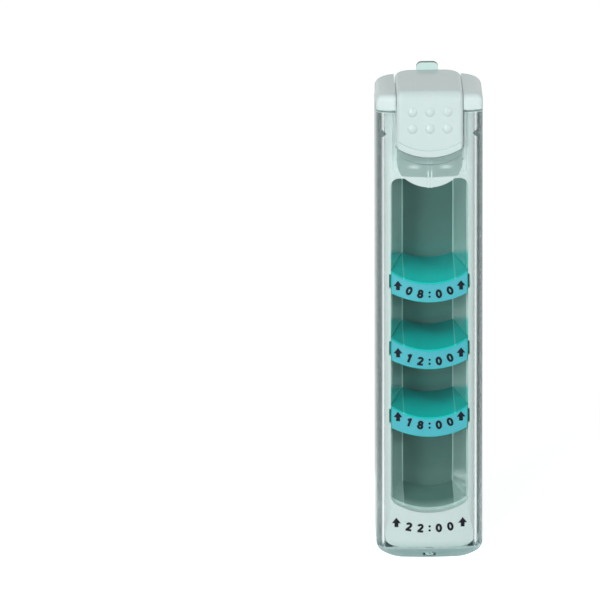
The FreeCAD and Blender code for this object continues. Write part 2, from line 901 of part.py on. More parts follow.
def make_divider(label, height):
    half = half_window - d.fit_gap
    face_radius = carriage_bow - d.label_thickness
    face_y = bow_y(face_radius, half)
    step_y, rear = front_plate_inside - d.fit_gap, trough_inner_rear - d.fit_gap
    step_half = trough_half_width_at(front_plate_inside, d.fit_gap)
    rear_half = trough_half_width_at(rear, d.fit_gap)
    rear_end, side_end, radius = rounded_corner(rear_half, rear, step_half, front_plate_inside)
    (rear_x, rear_y), (side_x, side_y) = rear_end, side_end
    plan = [
        (side_x, side_y),
        Bow(radius),
        (rear_x, rear_y),
        (-rear_x, rear_y),
        Bow(radius),
        (-side_x, side_y),
        (-step_half, step_y),
        (-half, step_y),
        (-half, face_y),
        Bow(face_radius),
        (half, face_y),
        (half, step_y),
        (step_half, step_y),
    ]
    floor = scoop(label + "_floor", height, half, d.divider_thickness, plan)
    below = height - 2 * d.band_height
    deep = 4 * d.band_height
    strip = bowed_strip(half, face_radius, d.apron_thickness)
    apron = common(
        label + "_apron",
        extrude(draw(label + "_apron_plan", "XY", [strip], offset=below), deep),
        extrude(draw(label + "_apron_face", "XZ", [band_outline(height, half, 0, 0)]), REACH),
    )
    low, high = ear_range(height)
    reach = half_window + d.ear_width
    back_y = bow_y(face_radius - d.apron_thickness, half)
    ear_front = face_y + d.ear_set_back
    ears = []
    for side, name in ((1, "right"), (-1, "left")):
        ear = doc.addObject("Part::Box", f"{label}_{name}_ear")
        bind(ear, "Length", d.ear_width + MARGIN)
        bind(ear, "Width", back_y - ear_front)
        bind(ear, "Height", high - low)
        bind(ear, "Placement.Base.x", reach - d.ear_width - MARGIN if side > 0 else -reach)
        bind(ear, "Placement.Base.y", ear_front)
        bind(ear, "Placement.Base.z", low)
        ears.append(ear)
    doc.recompute()
    return fuse(label, floor, apron, *ears)


def make_label(label, height):
    half = half_window - d.fit_gap - d.label_inset
    below = height - 2 * d.band_height
    deep = 4 * d.band_height
    strip = bowed_strip(half, carriage_bow, d.label_thickness)
    face = band_outline(height, half, -d.label_inset, d.label_inset)
    return common(
        label,
        extrude(draw(label + "_plan", "XY", [strip], offset=below), deep),
        extrude(draw(label + "_face", "XZ", [face]), REACH),
    )


# Cap


def make_cap():
    body = new_body("cap")
    bow = d.cap_bow_radius
    side_y = case_front + bow - root(bow * bow - half_case * half_case)
    bowed_front = [(-half_case, side_y), Bow(bow), (half_case, side_y)]
    plan = [(half_case, case_rear), (-half_case, case_rear), *bowed_front]
    pad(body, draw("cap_plan", "XY", [plan], offset=cap_low, body=body), d.cap_height)
    round_edges(body, "cap_front_edges", d.cap_front_rounding, is_front_upright)
    round_edges(body, "cap_rear_edges", d.cap_rear_rounding, is_rear_upright)
    round_edges(body, "cap_top_edges", d.cap_top_rounding, lambda edge, _: is_level(edge, cap_top.value))
    channel = half_latch + d.latch_side_gap
    floor_top = cap_low + d.cap_floor
    above = cap_top + MARGIN
    trench = [(-channel, floor_top), (channel, floor_top), (channel, above), (-channel, above)]
    pocket(body, draw("latch_channel", "XZ", [trench], body=body), REACH, both_ways=True)
    slot_rear = pivot_y + d.barrel_radius + d.latch_gap
    front = case_front - MARGIN
    slot = [(-channel, front), (channel, front), (channel, slot_rear), (-channel, slot_rear)]
    through_cap = d.cap_height + MARGIN
    pocket(body, draw("barrel_slot", "XY", [slot], offset=cap_low, body=body), through_cap, reverse=True)
    half_tab = d.rear_tab_width / 2 + d.latch_gap
    tab_front = case_rear - d.back_wall - d.latch_gap
    behind = case_rear + MARGIN
    recess = [(-half_tab, tab_front), (half_tab, tab_front), (half_tab, behind), (-half_tab, behind)]
    pocket(body, draw("tab_recess", "XY", [recess], offset=cap_low, body=body), through_cap, reverse=True)
    pin_hole = [(pivot_y, pivot_height, d.pin_radius)]
    pocket(body, draw("pin_seats", "YZ", circles=pin_hole, body=body), pin_length, both_ways=True)
    half_spacing = d.peg_spacing / 2
    pegs = [(sign * half_spacing, d.peg_offset, d.peg_radius) for sign in (1, -1)]
    peg_sketch = draw("pegs", "XY", circles=pegs, offset=cap_low - d.carriage_top_wall, body=body)
    pad(body, peg_sketch, d.carriage_top_wall + d.cap_floor / 2)
    return body


# Latch: a rocker with the pressed tongue in front, its pin and its spring


def make_latch_lever():
    body = new_body("latch_body")
    front, back = tongue_front, tongue_back
    rear = case_rear - d.back_wall - d.latch_gap
    top, under = latch_top, latch_top - d.spine_thickness
    bend = d.bend_radius
    inner_bend = bend - d.tongue_thickness
    skirt = cap_low + d.cap_floor + d.latch_gap
    tongue_foot = lip_bottom - MARGIN
    side = [
        (front, tongue_foot),
        (back, tongue_foot),
        (back, under - inner_bend),
        Bow(inner_bend, -1),
        (back + inner_bend, under),
        (rear - d.latch_rear_wall, under),
        (rear - d.latch_rear_wall, skirt),
        (rear, skirt),
        (rear, top),
        (front + bend, top),
        Bow(bend),
        (front, top - bend),
    ]
    pad(body, draw("latch_side", "YZ", [side], body=body), d.latch_width, both_ways=True)
    barrel = [(pivot_y, pivot_height, d.barrel_radius)]
    pad(body, draw("barrel", "YZ", circles=barrel, body=body), d.latch_width, both_ways=True)
    bore = [(pivot_y, pivot_height, d.pin_radius + d.pin_running_gap)]
    pocket(body, draw("barrel_bore", "YZ", circles=bore, body=body), REACH, both_ways=True)
    outside = half_latch.value
    front_y, top_z = front.value, top.value

    def is_outer_edge(edge, middle):
        box = edge.BoundBox
        if not near(abs(middle.x), outside) or not near(box.XLength, 0):
            return False
        on_front = near(box.YMin, front_y) and near(box.YMax, front_y)
        on_top = near(box.ZMin, top_z) and near(box.ZMax, top_z)
        on_bend = near(box.YMin, front_y) and near(box.ZMax, top_z)
        return on_front or on_top or on_bend

    def is_rear_corner(edge, middle):
        return is_upright(edge) and near(middle.y, rear.value) and near(abs(middle.x), outside)

    round_edges(body, "latch_rear_corners", d.latch_rear_corner_rounding, is_rear_corner)
    round_edges(body, "latch_edges", d.latch_edge_rounding, is_outer_edge)
    (left_x, side_z), (right_x, _) = smile(half_latch + MARGIN, lip_bottom, d.lip_radius)
    below = tongue_foot - MARGIN
    under_lip = [
        (left_x, side_z),
        (left_x, below),
        (right_x, below),
        (right_x, side_z),
        Bow(d.lip_radius, -1),
    ]
    pocket(body, draw("tongue_foot", "XZ", [under_lip], body=body), REACH, reverse=True)
    lip_half = half_latch - d.lip_side_inset
    (left_x, low_z), (right_x, _) = smile(lip_half, lip_bottom, d.lip_radius)
    (_, high_z), _ = smile(lip_half, lip_bottom + d.lip_band, d.lip_upper_radius)
    band = [
        (left_x, low_z),
        Bow(d.lip_radius),
        (right_x, low_z),
        (right_x, high_z),
        Bow(d.lip_upper_radius, -1),
        (left_x, high_z),
    ]
    middle_depth = -(front + d.tongue_thickness / 2)
    lip_sketch = draw("lip_band", "XZ", [band], offset=middle_depth, body=body)
    pad(body, lip_sketch, d.tongue_thickness / 2 + d.lip_proud)
    pieces = [body]
    # Each bump is the cap of a larger sphere, sunk into the tongue by its own height
    proud = d.bump_proud
    sphere_radius = (d.bump_radius * d.bump_radius + proud * proud) / (2 * proud)
    base_sine = (sphere_radius - 2 * proud) / sphere_radius
    for row in range(2):
        for column in (-1, 0, 1):
            bump = doc.addObject("Part::Sphere", f"bump_{row}_{column + 1}")
            bump.Placement = Placement(Vector(), Rotation(Vector(1, 0, 0), 90))
            bind(bump, "Radius", sphere_radius)
            bump.setExpression("Angle1", f"asin({base_sine.text})")
            bind(bump, "Placement.Base.x", d.bump_pitch * column)
            bind(bump, "Placement.Base.y", front - proud + sphere_radius)
            bind(bump, "Placement.Base.z", latch_top - d.bump_row_drop - d.bump_pitch * row)
            pieces.append(bump)
    doc.recompute()
    return fuse("latch_lever", *pieces)


def make_latch_pin():
    pin = doc.addObject("Part::Cylinder", "latch_pin")
    pin.Label = "latch_pin"
    pin.Placement = Placement(Vector(), Rotation(Vector(0, 1, 0), 90))
    bind(pin, "Radius", d.pin_radius)
    bind(pin, "Height", pin_length)
    bind(pin, "Placement.Base.x", -pin_length / 2)
    bind(pin, "Placement.Base.y", pivot_y)
    bind(pin, "Placement.Base.z", pivot_height)
    doc.recompute()
    return pin


def make_latch_spring():
    """A bowed leaf between the drawer's recess and the back of the tongue."""
    body = new_body("latch_spring")
    foot_y = recess_floor
    crown_y = tongue_back + d.fit_gap
    sagitta = foot_y - crown_y
    half = d.spring_half_height
    outer = (half * half + sagitta * sagitta) / (2 * sagitta)
    inner = outer - d.spring_thickness
    centre_y = crown_y + outer
    inner_half = leg(inner, centre_y - foot_y)
    middle = lip_bottom + d.spring_rise
    side = [
        (foot_y, middle + half),
        Bow(outer),
        (foot_y, middle - half),
        (foot_y, middle - inner_half),
        Bow(inner, -1),
        (foot_y, middle + inner_half),
    ]
    pad(body, draw("spring_side", "YZ", [side], body=body), d.spring_width, both_ways=True)
    return body


parts = [
    make_outer_case(),
    make_catch_nose(),
    make_carriage(),
    make_trough(),
    make_cap(),
    make_latch_lever(),
    make_latch_pin(),
    make_latch_spring(),
]
for place, height in (("upper", upper_height), ("middle", middle_height), ("lower", lower_height)):
    parts.append(make_divider("divider_" + place, height))
    parts.append(make_label("label_" + place, height))

doc.recompute()
for thing in doc.Objects:
    if "Invalid" in thing.State or "Error" in thing.State:
        raise RuntimeError(f"{thing.Label} failed: {thing.State}")
os.makedirs("parts", exist_ok=True)
for part in parts:
    shape = part.Shape
    if shape.isNull() or not shape.isValid():
        raise RuntimeError(f"{part.Label} has no valid shape")
    print(part.Label, len(shape.Solids), round(shape.Volume, 2))
for part in parts:
    part.Shape.exportStep(os.path.join("parts", part.Label + ".step"))
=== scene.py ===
import math

import bpy
from mathutils import Matrix, Quaternion, Vector


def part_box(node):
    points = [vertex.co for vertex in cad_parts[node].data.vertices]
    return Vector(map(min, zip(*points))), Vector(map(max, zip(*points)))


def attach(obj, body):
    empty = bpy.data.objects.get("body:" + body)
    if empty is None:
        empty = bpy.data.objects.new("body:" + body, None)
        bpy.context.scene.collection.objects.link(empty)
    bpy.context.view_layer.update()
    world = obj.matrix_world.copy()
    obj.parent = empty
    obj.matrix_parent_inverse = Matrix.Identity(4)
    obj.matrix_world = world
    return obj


# Medication dispenser: a clear upright case round a white drawer with turquoise dividers.
# The part's own frame: the front faces -Y and +Z is up. Objects are in metres.

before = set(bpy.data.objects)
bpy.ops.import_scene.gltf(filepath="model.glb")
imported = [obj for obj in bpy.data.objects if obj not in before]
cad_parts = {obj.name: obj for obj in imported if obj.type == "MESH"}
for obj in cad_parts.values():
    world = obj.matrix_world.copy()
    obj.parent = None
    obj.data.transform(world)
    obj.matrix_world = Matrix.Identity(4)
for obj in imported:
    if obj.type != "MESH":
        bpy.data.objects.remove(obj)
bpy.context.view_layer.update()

MM = 0.001

scene = bpy.context.scene
scene.view_settings.view_transform = "Standard"
scene.cycles.max_bounces = 24
scene.cycles.glossy_bounces = 16
scene.cycles.transmission_bounces = 20


# Places on the solids, in millimetres, where a material changes


def lowest(node):
    """A node's lowest corner at rest, in millimetres."""
    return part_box(node)[0] / MM


def highest(node):
    """A node's highest corner at rest, in millimetres."""
    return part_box(node)[1] / MM


# Lengths that the solids have too
SIDE_WALL = 1.9
TAB_RISE = 8.7  # the clear tab stands this high above the case's rim
NOTCH_GAP = 0.3
BAND_HEIGHT = 5.8  # from a divider's lowest point to its front edge
EAR_WIDTH = 0.35  # the dividers' ears stand in slots at the window's sides
TROUGH_CORNER = 7.5  # where the trough's rear wall meets its side walls, each side of the middle

CASE_INSIDE = highest("outer_case").x - SIDE_WALL
RIM = highest("outer_case").z - TAB_RISE
NOTCH_SIDE = highest("latch_lever").x + NOTCH_GAP
NOTCH_EDGE_FOOT = 119.0  # the pale edges of the notch begin here
BEHIND_FRONT_WALL = lowest("outer_case").y + 2.7  # beside the notch, where the wall has bowed back
WINDOW_SIDE = highest("divider_upper").x - EAR_WIDTH
DIVIDERS = ("divider_lower", "divider_middle", "divider_upper")
FLOOR_HEIGHTS = [lowest(name).z + BAND_HEIGHT for name in DIVIDERS]  # the floors' front edges
NOSE_LOW = lowest("catch_nose").z
REFLECTION_SLOPE = 0.325  # how steeply the painted reflections on the trough sink towards the rear

# The painted dark image of each nib: its middle's height, its tip and its rear end
NIB_IMAGE_HEIGHT = RIM - 6.9
NIB_IMAGE_TIP = CASE_INSIDE - 1.3
NIB_IMAGE_REAR = -7.2


# Materials


class Nodes:
    """Builds the node tree of a material or of the world."""

    def __init__(self, owner, output_kind):
        owner.use_nodes = True
        self.tree = owner.node_tree
        self.tree.nodes.clear()
        self.output = self.add(output_kind)

    def add(self, kind, inputs=None, **settings):
        """A new node with these settings and inputs."""
        node = self.tree.nodes.new(kind)
        for name, value in settings.items():
            setattr(node, name, value)
        for name, value in (inputs or {}).items():
            self.feed(node.inputs[name], value)
        return node

    def feed(self, socket, value):
        """Gives an input another node's output, a colour or a plain value."""
        if isinstance(value, bpy.types.NodeSocket):
            self.tree.links.new(value, socket)
        else:
            socket.default_value = (*value, 1) if socket.type == "RGBA" else value

    def show(self, shader):
        """Makes this shader the material's surface, or the world's."""
        self.feed(self.output.inputs["Surface"], shader)

    def math(self, operation, first, second=0.0):
        return self.add("ShaderNodeMath", {0: first, 1: second}, operation=operation).outputs["Value"]

    def product(self, *values):
        result = values[0]
        for value in values[1:]:
            result = self.math("MULTIPLY", result, value)
        return result

    def is_zero(self, count):
        """1 where a count of bounces is 0."""
        return self.math("LESS_THAN", count, 0.5)

    def is_positive(self, count):
        """1 where a count of bounces is 1 or more."""
        return self.math("GREATER_THAN", count, 0.5)

    def ramp(self, value, start, end, low=0.0, high=1.0):
        """Goes smoothly from low to high as the value goes from start to end."""
        inputs = {"Value": value, "From Min": start, "From Max": end, "To Min": low, "To Max": high}
        return self.add("ShaderNodeMapRange", inputs, interpolation_type="SMOOTHSTEP").outputs["Result"]

    def fade(self, value, start, end):
        """Goes smoothly from 1 to 0 as the value goes from start to end."""
        return self.ramp(value, start, end, 1.0, 0.0)

    def band(self, value, start, end, soft):
        """1 between start and end, with soft edges of this width inside them, and 0 elsewhere."""
        return self.product(self.ramp(value, start, start + soft), self.fade(value, end - soft, end))

    def line(self, value, centre, half_width):
        """1 on a thin line where the value is the centre, and 0 away from it."""
        distance = self.math("ABSOLUTE", self.math("SUBTRACT", value, centre))
        return self.fade(distance, 0.0, half_width)

    def mix(self, factor, first, second):
        """The first colour where the factor is 0 and the second where it is 1."""
        inputs = {"Factor": factor, "A": first, "B": second}
        return self.add("ShaderNodeMix", inputs, data_type="RGBA").outputs["Result"]

    def choose(self, factor, first, second):
        """The first shader where the factor is 0 and the second where it is 1."""
        return self.add("ShaderNodeMixShader", {"Fac": factor, 1: first, 2: second}).outputs["Shader"]


class MaterialNodes(Nodes):
    """Builds one material's nodes. Coordinates are the object's own, in millimetres."""

    def __init__(self, name):
        self.material = bpy.data.materials.new(name)
        super().__init__(self.material, "ShaderNodeOutputMaterial")
        coordinates = self.add("ShaderNodeTexCoord").outputs["Object"]
        self.place = self.scaled(coordinates, (1 / MM, 1 / MM, 1 / MM))

    def scaled(self, place, factors):
        return self.add("ShaderNodeMapping", {"Vector": place, "Scale": factors}).outputs["Vector"]

    def axis(self, name):
        """The place along one axis."""
        return self.add("ShaderNodeSeparateXYZ", {"Vector": self.place}).outputs[name]

    def across(self):
        """The distance from the object's middle plane."""
        return self.math("ABSOLUTE", self.axis("X"))

    def noise(self, scale, detail=2.0, roughness=0.5, stretch=None):
        place = self.scaled(self.place, stretch) if stretch else self.place
        inputs = {"Vector": place, "Scale": scale, "Detail": detail, "Roughness": roughness}
        return self.add("ShaderNodeTexNoise", inputs).outputs["Fac"]

    def flow(self):
        """Broad upright patches, as molten plastic leaves them."""
        return self.noise(0.07, detail=3, stretch=(1, 1, 0.35))

    def spread(self, value, low, high):
        """Maps a value from 0 to 1 onto a range."""
        inputs = {"Value": value, "To Min": low, "To Max": high}
        return self.add("ShaderNodeMapRange", inputs).outputs["Result"]

    def bump(self, height, depth):
        """A surface whose height varies by the depth, in millimetres."""
        inputs = {"Height": height, "Strength": 1.0, "Distance": depth * MM}
        return self.add("ShaderNodeBump", inputs).outputs["Normal"]

    def principled(self, **values):
        inputs = {name.replace("_", " "): value for name, value in values.items()}
        return self.add("ShaderNodeBsdfPrincipled", inputs).outputs["BSDF"]

    def plastic(self, colour, gloss, grain, **values):
        """Opaque plastic: slightly uneven gloss in this range of roughness, and fine grain."""
        uneven = self.spread(self.noise(0.8, detail=4), *gloss)
        grained = self.bump(self.noise(5.0, detail=4, roughness=0.65), grain)
        self.show(self.principled(Base_Color=colour, Roughness=uneven, Normal=grained, **values))
        return self.material


def linear(red, green, blue):
    """A colour given as 0 to 255 display values, as the shader takes it."""
    def straighten(value):
        value /= 255
        return value / 12.92 if value <= 0.04045 else ((value + 0.055) / 1.055) ** 2.4

    return straighten(red), straighten(green), straighten(blue)


def moulded_plastic(name, light, dark, roughness, grain=0.004):
    """Opaque moulded plastic: faint flow shading, fine satin grain and slightly uneven gloss."""
    nodes = MaterialNodes(name)
    colour = nodes.mix(nodes.flow(), dark, light)
    return nodes.plastic(colour, (roughness - 0.05, roughness + 0.05), grain, IOR=1.5)


def trough_plastic(name):
    """Glossy smoke plastic: a dark rear wall, with painted light and painted reflections elsewhere.

    The side walls are painted paler, with a painted highlight along the corners. Beside each
    divider's floor they carry a painted turquoise reflection of it, in a band that sinks towards
    the rear. The rear wall is painted lighter towards the bottom, and the lowest compartment's own
    floor has painted light at the front."""
    nodes = MaterialNodes(name)
    across, depth, height = nodes.across(), nodes.axis("Y"), nodes.axis("Z")
    flow = nodes.flow()

    # Painted light: the side walls are paler than the rear wall
    side = nodes.mix(flow, linear(208, 235, 230), linear(198, 227, 222))
    # Painted reflections of the turquoise dividers on the glossy side walls, in bands sinking rearwards
    slanted = nodes.math("ADD", height, nodes.math("MULTIPLY", depth, REFLECTION_SLOPE))
    for edge in FLOOR_HEIGHTS:
        from_below = nodes.ramp(slanted, edge - 3.0, edge - 2.0)
        upwards = nodes.ramp(slanted, edge + 5.6, edge + 8.0, 0.85, 0.0)
        side = nodes.mix(nodes.product(from_below, upwards), side, linear(20, 208, 200))

    rear = nodes.mix(flow, linear(104, 144, 138), linear(94, 133, 128))
    # Painted light: the rear wall is lighter towards the bottom
    rear = nodes.mix(nodes.fade(height, 12.0, 40.0), rear, linear(112, 152, 143))
    # Painted light on the front of the lowest floor
    front_floor_light = nodes.product(nodes.fade(depth, -9.5, -1.0), nodes.fade(height, 18.0, 20.0))
    rear = nodes.mix(front_floor_light, rear, linear(204, 230, 223))

    colour = nodes.mix(nodes.ramp(across, TROUGH_CORNER - 0.2, TROUGH_CORNER + 0.4), rear, side)
    # Painted highlight along the corners
    colour = nodes.mix(nodes.line(across, TROUGH_CORNER, 0.35), colour, linear(222, 246, 240))
    coat = {"Coat_Weight": 1.0, "Coat_IOR": 1.6, "Coat_Roughness": 0.12}
    return nodes.plastic(colour, (0.12, 0.2), 0.002, IOR=1.57, **coat)


def divider_plastic(name):
    """Turquoise plastic: painted shade deepens it to the rear and fills the side slots, and painted
    light makes it paler beyond the corner lines, with a painted highlight on them.
    """
    nodes = MaterialNodes(name)
    across = nodes.across()
    flow = nodes.noise(0.09, detail=3)
    # Painted shade: darker towards the rear
    front = nodes.mix(flow, linear(0, 226, 217), linear(0, 219, 210))
    rear = nodes.mix(flow, linear(0, 170, 167), linear(0, 162, 160))
    colour = nodes.mix(nodes.ramp(nodes.axis("Y"), -9.0, 8.0), front, rear)
    # Painted light beyond the corner lines, and a painted highlight along them
    beyond = nodes.ramp(across, TROUGH_CORNER - 0.2, TROUGH_CORNER + 0.7)
    colour = nodes.mix(beyond, colour, linear(24, 210, 202))
    colour = nodes.mix(nodes.line(across, TROUGH_CORNER, 0.3), colour, linear(120, 230, 223))
    # Painted shade in the side slots
    slot = nodes.ramp(across, WINDOW_SIDE - 0.05, WINDOW_SIDE + 0.1)
    colour = nodes.mix(slot, colour, linear(18, 74, 76))
    return nodes.plastic(colour, (0.3, 0.42), 0.003, IOR=1.45, Specular_IOR_Level=0.3)


def clear_plastic(name, density, tint, wobble, surface_tint, milk_at, milk_colour, satin_from=None):
    """Clear polystyrene that darkens to grey green through its depth.

    surface_tint, milk_at and milk_colour are functions of the nodes: each place's colour, its
    milkiness and the milk's colour. satin_from is the distance from the middle plane, in
    millimetres, where the surface begins to turn satin. Without it, no place is satin."""
    nodes = MaterialNodes(name)
    facing = nodes.add("ShaderNodeLayerWeight", {"Blend": 0.5}).outputs["Facing"]
    roughness = nodes.spread(nodes.noise(0.5, detail=4), 0.0, 0.03)
    if satin_from:
        satin = nodes.ramp(nodes.across(), satin_from, satin_from + 0.7, 0.0, 0.16)
        roughness = nodes.math("ADD", roughness, satin)
    glass_inputs = {
        "Color": nodes.mix(nodes.ramp(facing, 0.55, 1.0), surface_tint(nodes), (0.94, 0.96, 0.96)),
        "Roughness": roughness,
        "IOR": 1.57,
        "Normal": nodes.bump(nodes.noise(0.12, detail=2), wobble),
    }
    glass = nodes.add("ShaderNodeBsdfGlass", glass_inputs).outputs["BSDF"]
    milk = nodes.principled(Base_Color=milk_colour(nodes), Roughness=0.22, IOR=1.5)
    surface = nodes.choose(milk_at(nodes), glass, milk)

    straight = nodes.add("ShaderNodeBsdfTransparent", {"Color": (0.975, 0.99, 0.985)}).outputs["BSDF"]
    rays = nodes.add("ShaderNodeLightPath").outputs
    for kind in ("Is Shadow Ray", "Is Diffuse Ray"):
        surface = nodes.choose(rays[kind], surface, straight)
    nodes.show(surface)
    absorption = nodes.add("ShaderNodeVolumeAbsorption", {"Color": tint, "Density": density})
    nodes.feed(nodes.output.inputs["Volume"], absorption.outputs["Volume"])
    return nodes.material


def case_tint(nodes):
    """Clear in the middle, a little greyer at the sides, and faintly green in the foot and the tab."""
    height = nodes.axis("Z")
    side = nodes.ramp(nodes.across(), CASE_INSIDE - 0.6, CASE_INSIDE - 0.3)
    colour = nodes.mix(side, (0.99, 1.0, 1.0), (0.985, 0.995, 0.995))
    colour = nodes.mix(nodes.fade(height, 1.0, 5.0), colour, (0.77, 0.845, 0.845))
    return nodes.mix(nodes.ramp(height, RIM - 0.1, RIM + 0.7), colour, (0.80, 0.91, 0.885))


def case_milk(nodes):
    """The rim's top and the notch's edges catch the light, and each front corner has a painted dark
    image of a nib.
    """
    height = nodes.axis("Z")
    rim = nodes.band(height, RIM - 0.35, RIM + 0.3, 0.25)
    beside = nodes.band(nodes.across(), NOTCH_SIDE - 0.25, NOTCH_SIDE + 0.85, 0.2)
    front = nodes.fade(nodes.axis("Y"), BEHIND_FRONT_WALL - 0.1, BEHIND_FRONT_WALL + 0.1)
    notch = nodes.product(beside, front, nodes.ramp(height, NOTCH_EDGE_FOOT, NOTCH_EDGE_FOOT + 0.5))
    milk = nodes.math("MAXIMUM", nodes.product(rim, 0.8), nodes.product(notch, 0.55))
    return nodes.math("MAXIMUM", milk, nodes.product(painted_nib_image(nodes), 0.85))


def painted_nib_image(nodes):
    """1 in a triangle inside each front corner and 0 elsewhere. It is a painted dark image of the nib
    behind it, the shade that the clear corner shows there.
    """
    across, depth = nodes.across(), nodes.axis("Y")
    off_middle = nodes.math("ABSOLUTE", nodes.math("SUBTRACT", nodes.axis("Z"), NIB_IMAGE_HEIGHT))
    reach = nodes.math("SUBTRACT", across, NIB_IMAGE_TIP)
    triangle = nodes.ramp(nodes.math("SUBTRACT", reach, off_middle), -0.1, 0.1)
    inside = nodes.fade(across, CASE_INSIDE - 0.08, CASE_INSIDE - 0.02)
    behind_front = nodes.ramp(depth, BEHIND_FRONT_WALL - 0.1, BEHIND_FRONT_WALL)
    before_rear = nodes.fade(depth, NIB_IMAGE_REAR - 0.2, NIB_IMAGE_REAR)
    return nodes.product(triangle, inside, behind_front, before_rear)


def case_milk_colour(nodes):
    """Nearly white, and dark in the painted image of a nib."""
    pale = nodes.mix(nodes.noise(0.5), linear(222, 240, 238), linear(216, 236, 234))
    return nodes.mix(painted_nib_image(nodes), pale, linear(84, 116, 112))


def nose_tint(nodes):
    """Slightly uneven grey green."""
    return nodes.mix(nodes.noise(0.5), (0.90, 0.94, 0.935), (0.87, 0.92, 0.915))


def nose_low_edge(nodes):
    """1 along the nose's low edge and 0 above it."""
    return nodes.fade(nodes.axis("Z"), NOSE_LOW + 3.1, NOSE_LOW + 3.6)


def nose_rib(nodes):
    """1 along the two ribs in the nose's middle, fading upwards, and 0 away from them."""
    rib = nodes.line(nodes.across(), 0.5, 0.4)
    return nodes.product(rib, nodes.ramp(nodes.axis("Z"), NOSE_LOW + 4.6, NOSE_LOW + 6.0, 1.0, 0.2))


def nose_milk(nodes):
    """The nose is half milky, more so along its low edge and on the two ribs in its middle."""
    low_edge = nodes.spread(nose_low_edge(nodes), 0.5, 0.8)
    return nodes.math("MAXIMUM", low_edge, nodes.product(nose_rib(nodes), 0.85))


def nose_milk_colour(nodes):
    """Grey in the body, a painted shade. Painted light makes it white along the low edge and on the
    ribs, and a painted highlight lies on each side of the bulge.
    """
    # A painted highlight on each side of the bulge
    glint_across = nodes.line(nodes.across(), 4.7, 2.6)
    glint = nodes.product(glint_across, nodes.line(nodes.axis("Z"), NOSE_LOW + 6.4, 0.9))
    # Painted light along the low edge and on the ribs, with the painted highlight
    pale = nodes.math("MAXIMUM", nodes.math("MAXIMUM", nose_low_edge(nodes), nose_rib(nodes)), glint)
    return nodes.mix(pale, linear(158, 180, 177), linear(226, 242, 240))


def drawn_steel(name):
    """Bare steel with fine lines along X."""
    nodes = MaterialNodes(name)
    lines = nodes.noise(2.0, detail=5, stretch=(0.15, 3, 3))
    colour = nodes.mix(lines, (0.42, 0.43, 0.44), (0.66, 0.67, 0.68))
    nodes.show(nodes.principled(Base_Color=colour, Metallic=1.0, Roughness=nodes.spread(lines, 0.22, 0.4)))
    return nodes.material


def printing_ink(name):
    """Dark blue ink, slightly patchy."""
    nodes = MaterialNodes(name)
    patches = nodes.noise(3.0, detail=4)
    colour = nodes.mix(patches, (0.008, 0.008, 0.016), (0.016, 0.015, 0.028))
    roughness = nodes.spread(patches, 0.4, 0.6)
    nodes.show(nodes.principled(Base_Color=colour, Roughness=roughness, IOR=1.45, Specular_IOR_Level=0.2))
    return nodes.material


white = moulded_plastic("white_plastic", linear(230, 245, 243), linear(225, 241, 239), 0.24)
white_latch = moulded_plastic("white_plastic_latch", linear(221, 237, 235), linear(216, 233, 231), 0.15)
# Painted light: the drawer's white is lighter than the cap's, making up for the light that the clear case
# keeps from it
white_drawer_lit = moulded_plastic("white_plastic_drawer", linear(240, 252, 250), linear(236, 249, 247), 0.3)
smoke = trough_plastic("smoke_plastic")
turquoise = divider_plastic("turquoise_plastic")
label_blue = moulded_plastic("label_blue", linear(94, 210, 225), linear(84, 202, 218), 0.45, grain=0.002)
clear = clear_plastic(
    "clear_plastic",
    density=22.0,
    tint=(0.27, 0.47, 0.45),
    wobble=0.01,
    surface_tint=case_tint,
    milk_at=case_milk,
    milk_colour=case_milk_colour,
    satin_from=CASE_INSIDE - 1.0,
)
clear_thick = clear_plastic(
    "clear_plastic_thick",
    density=40.0,
    tint=(0.30, 0.46, 0.45),
    wobble=0.02,
    surface_tint=nose_tint,
    milk_at=nose_milk,
    milk_colour=nose_milk_colour,
)
steel = drawn_steel("spring_steel")
ink = printing_ink("printing_ink")

NODE_MATERIALS = {
    "outer_case": clear,
    "catch_nose": clear_thick,
    "carriage": white_drawer_lit,
    "cap": white,
    "latch_lever": white_latch,
    "compartment_trough": smoke,
    "divider_upper": turquoise,
    "divider_middle": turquoise,
    "divider_lower": turquoise,
    "label_upper": label_blue,
    "label_middle": label_blue,
    "label_lower": label_blue,
    "latch_pin": steel,
    "latch_spring": steel,
}
for name, material in NODE_MATERIALS.items():
    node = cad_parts[name]
    if not node.material_slots:
        node.data.materials.append(material)
    for slot in node.material_slots:
        slot.material = material


# Printing: plain times between two upward arrows, on a smile-shaped line

FRONT_RADIUS = 60.2 * MM  # bow of the drawer's front and of the label strips
FRONT_CENTRE_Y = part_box("carriage")[0].y + FRONT_RADIUS
PRINT_LIFT = 0.06 * MM
LETTER_HEIGHT = 2.65 * MM
LETTER_PITCH = 3.4 * MM
COLON_PITCH = 2.0 * MM
ARROW_WIDTH, ARROW_HEIGHT = 2.6 * MM, 2.9 * MM

# Lengths for a letter that is 1 high
STROKE_HALF_WIDTH = 0.13
DOT_HALF_WIDTH = 0.065

CORNER_LIMIT = 0.5  # a stroke's corner reaches out at most half_width / CORNER_LIMIT


def ellipse_points(centre_x, centre_y, half_width, half_height, start, end, count):
    """Points along an ellipse from one angle to another, in degrees."""
    angles = [math.radians(start + (end - start) * index / count) for index in range(count + 1)]
    return [(centre_x + half_width * math.cos(a), centre_y + half_height * math.sin(a)) for a in angles]


def stroke(path, half_width, closed=False):
    """A line of even thickness along a path, as flat points and faces."""
    centre = [Vector(point) for point in path]
    points, faces = [], []
    count = len(centre)
    for index, point in enumerate(centre):
        before = centre[index - 1] if index or closed else point
        after = centre[(index + 1) % count] if index < count - 1 or closed else point
        steps = [step.normalized() for step in (point - before, after - point) if step.length]
        along = sum(steps, Vector((0, 0))).normalized()
        reach = half_width / max(CORNER_LIMIT, along.dot(steps[0]))
        side = Vector((-along.y, along.x)) * reach
        points += [point + side, point - side]
    for index in range(count if closed else count - 1):
        near, far = 2 * index, 2 * ((index + 1) % count)
        faces.append([near, near + 1, far + 1, far])
    return points, faces


